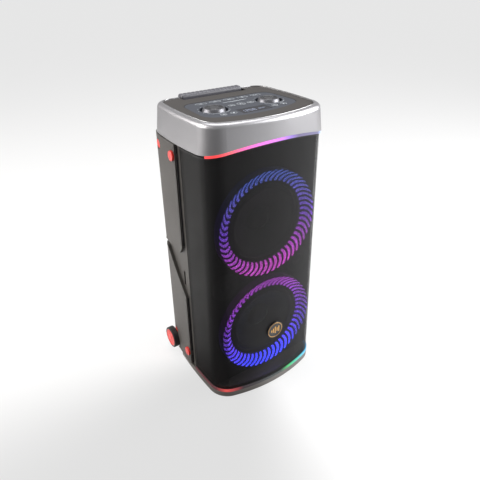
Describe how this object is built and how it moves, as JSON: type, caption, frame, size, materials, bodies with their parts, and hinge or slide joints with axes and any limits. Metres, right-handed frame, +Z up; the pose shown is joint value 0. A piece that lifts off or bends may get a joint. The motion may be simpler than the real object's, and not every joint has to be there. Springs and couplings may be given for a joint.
{
  "type": "party speaker",
  "caption": "Tall wheeled party speaker with two woofers behind glowing rings, perforated wrap grille, top control panel, red side feet and a pull-out handle.",
  "frame": {"origin": "on the floor under the middle of the cabinet's width, at mid depth of the cabinet without its overhanging cap", "axes": "+Z up, front grille towards -Y, +X to the speaker's right as seen from the front"},
  "size_m": [0.332, 0.2721, 0.685],
  "materials": {
    "cabinet_plastic": "fine textured moulding",
    "grille_metal": "perforated, matte powder coat",
    "emblem_metal": "polished rim on a black plate",
    "cap_paint": "satin metallic paint",
    "deck_plastic": "matte",
    "panel_plastic": "satin, printed symbols",
    "display_glass": "dark tinted window",
    "circuit_board": "glass-fibre board",
    "light_diffuser": "milky light guide",
    "driver_steel": "black stamped steel",
    "magnet_iron": "plain",
    "cone_plastic": "woven look",
    "surround_rubber": "soft",
    "cover_plastic": "grained",
    "red_plastic": "semi-gloss",
    "screw_steel": "zinc plated",
    "plinth_plastic": "satin",
    "tyre_rubber": "smooth tread",
    "stem_aluminium": "anodised",
    "grip_plastic": "ribbed, satin",
    "knob_plastic": "dished top, bright rim"
  },
  "bodies": {
    "cabinet": {"cabinet_shell": "cabinet_plastic", "front_baffle": "cabinet_plastic", "rear_panel": "cabinet_plastic", "port_tube": "cabinet_plastic", "front_grille": "grille_metal", "grille_emblem": "emblem_metal", "top_cap": "cap_paint", "top_deck": "deck_plastic", "control_panel": "panel_plastic", "display_window": "display_glass", "control_board": "circuit_board", "light_strip_top": "light_diffuser", "light_strip_bottom": "light_diffuser", "light_ring_upper": "light_diffuser", "light_ring_lower": "light_diffuser", "woofer_basket_upper": "driver_steel", "woofer_basket_lower": "driver_steel", "woofer_magnet_upper": "magnet_iron", "woofer_magnet_lower": "magnet_iron", "woofer_surround_upper": "surround_rubber", "woofer_surround_lower": "surround_rubber", "tweeter_left": "magnet_iron", "tweeter_right": "magnet_iron", "side_cover_left": "cover_plastic", "side_cover_right": "cover_plastic", "side_feet": "red_plastic", "cover_screws": "screw_steel", "base_plinth": "plinth_plastic", "rubber_feet": "surround_rubber", "wheel_axles": "screw_steel", "handle_sleeves": "stem_aluminium", "jack_plate": "cabinet_plastic", "power_inlet": "cabinet_plastic", "amplifier_module": "stem_aluminium", "battery_pack": "circuit_board"},
    "woofer_cone_upper_body": {"woofer_cone_upper": "cone_plastic"},
    "woofer_cone_lower_body": {"woofer_cone_lower": "cone_plastic"},
    "knob_left_body": {"knob_left": "knob_plastic"},
    "knob_right_body": {"knob_right": "knob_plastic"},
    "mode_key_1_body": {"mode_key_1": "panel_plastic"},
    "mode_key_2_body": {"mode_key_2": "panel_plastic"},
    "mode_key_3_body": {"mode_key_3": "panel_plastic"},
    "mode_key_4_body": {"mode_key_4": "panel_plastic"},
    "mode_key_5_body": {"mode_key_5": "panel_plastic"},
    "previous_key_body": {"previous_key": "panel_plastic"},
    "play_key_body": {"play_key": "panel_plastic"},
    "next_key_body": {"next_key": "panel_plastic"},
    "round_key_a_body": {"round_key_a": "panel_plastic"},
    "round_key_b_body": {"round_key_b": "panel_plastic"},
    "round_key_c_body": {"round_key_c": "panel_plastic"},
    "round_key_d_body": {"round_key_d": "panel_plastic"},
    "wheel_left_body": {"wheel_left": "red_plastic", "tyre_left": "tyre_rubber"},
    "wheel_right_body": {"wheel_right": "red_plastic", "tyre_right": "tyre_rubber"},
    "handle_body": {"handle_stems": "stem_aluminium", "handle_grip": "grip_plastic"},
    "handle_button_body": {"handle_button": "deck_plastic"},
    "power_switch_body": {"power_switch": "cabinet_plastic"}
  },
  "joints": [
    {"name": "woofer_upper_excursion", "type": "slide", "parent": "cabinet", "child": "woofer_cone_upper_body", "axis": [0, -1, 0], "range_m": [-0.003, 0.003], "stiffness_N_per_m": 3000},
    {"name": "woofer_lower_excursion", "type": "slide", "parent": "cabinet", "child": "woofer_cone_lower_body", "axis": [0, -1, 0], "range_m": [-0.003, 0.003], "stiffness_N_per_m": 3000},
    {"name": "knob_left_turn", "type": "hinge", "parent": "cabinet", "child": "knob_left_body", "pos_m": [-0.068, -0.006, 0.676], "axis": [0, 0, 1], "continuous": true},
    {"name": "knob_right_turn", "type": "hinge", "parent": "cabinet", "child": "knob_right_body", "pos_m": [0.068, -0.006, 0.676], "axis": [0, 0, 1], "continuous": true},
    {"name": "mode_key_1_press", "type": "slide", "parent": "cabinet", "child": "mode_key_1_body", "axis": [0, 0, -1], "range_m": [0, 0.0008], "stiffness_N_per_m": 900},
    {"name": "mode_key_2_press", "type": "slide", "parent": "cabinet", "child": "mode_key_2_body", "axis": [0, 0, -1], "range_m": [0, 0.0008], "stiffness_N_per_m": 900},
    {"name": "mode_key_3_press", "type": "slide", "parent": "cabinet", "child": "mode_key_3_body", "axis": [0, 0, -1], "range_m": [0, 0.0008], "stiffness_N_per_m": 900},
    {"name": "mode_key_4_press", "type": "slide", "parent": "cabinet", "child": "mode_key_4_body", "axis": [0, 0, -1], "range_m": [0, 0.0008], "stiffness_N_per_m": 900},
    {"name": "mode_key_5_press", "type": "slide", "parent": "cabinet", "child": "mode_key_5_body", "axis": [0, 0, -1], "range_m": [0, 0.0008], "stiffness_N_per_m": 900},
    {"name": "previous_key_press", "type": "slide", "parent": "cabinet", "child": "previous_key_body", "axis": [0, 0, -1], "range_m": [0, 0.0008], "stiffness_N_per_m": 900},
    {"name": "play_key_press", "type": "slide", "parent": "cabinet", "child": "play_key_body", "axis": [0, 0, -1], "range_m": [0, 0.0008], "stiffness_N_per_m": 900},
    {"name": "next_key_press", "type": "slide", "parent": "cabinet", "child": "next_key_body", "axis": [0, 0, -1], "range_m": [0, 0.0008], "stiffness_N_per_m": 900},
    {"name": "round_key_a_press", "type": "slide", "parent": "cabinet", "child": "round_key_a_body", "axis": [0, 0, -1], "range_m": [0, 0.0008], "stiffness_N_per_m": 900},
    {"name": "round_key_b_press", "type": "slide", "parent": "cabinet", "child": "round_key_b_body", "axis": [0, 0, -1], "range_m": [0, 0.0008], "stiffness_N_per_m": 900},
    {"name": "round_key_c_press", "type": "slide", "parent": "cabinet", "child": "round_key_c_body", "axis": [0, 0, -1], "range_m": [0, 0.0008], "stiffness_N_per_m": 900},
    {"name": "round_key_d_press", "type": "slide", "parent": "cabinet", "child": "round_key_d_body", "axis": [0, 0, -1], "range_m": [0, 0.0008], "stiffness_N_per_m": 900},
    {"name": "wheel_left_spin", "type": "hinge", "parent": "cabinet", "child": "wheel_left_body", "pos_m": [-0.158, 0.109, 0.046], "axis": [1, 0, 0], "continuous": true},
    {"name": "wheel_right_spin", "type": "hinge", "parent": "cabinet", "child": "wheel_right_body", "pos_m": [0.158, 0.109, 0.046], "axis": [1, 0, 0], "continuous": true},
    {"name": "handle_pull", "type": "slide", "parent": "cabinet", "child": "handle_body", "axis": [0, 0, 1], "range_m": [0, 0.3]},
    {"name": "handle_release", "type": "slide", "parent": "handle_body", "child": "handle_button_body", "axis": [0, 1, 0], "range_m": [0, 0.0025], "stiffness_N_per_m": 600},
    {"name": "power_rocker", "type": "hinge", "parent": "cabinet", "child": "power_switch_body", "pos_m": [-0.036, 0.1294, 0.115], "axis": [1, 0, 0], "range_deg": [-12, 0]}
  ]
}
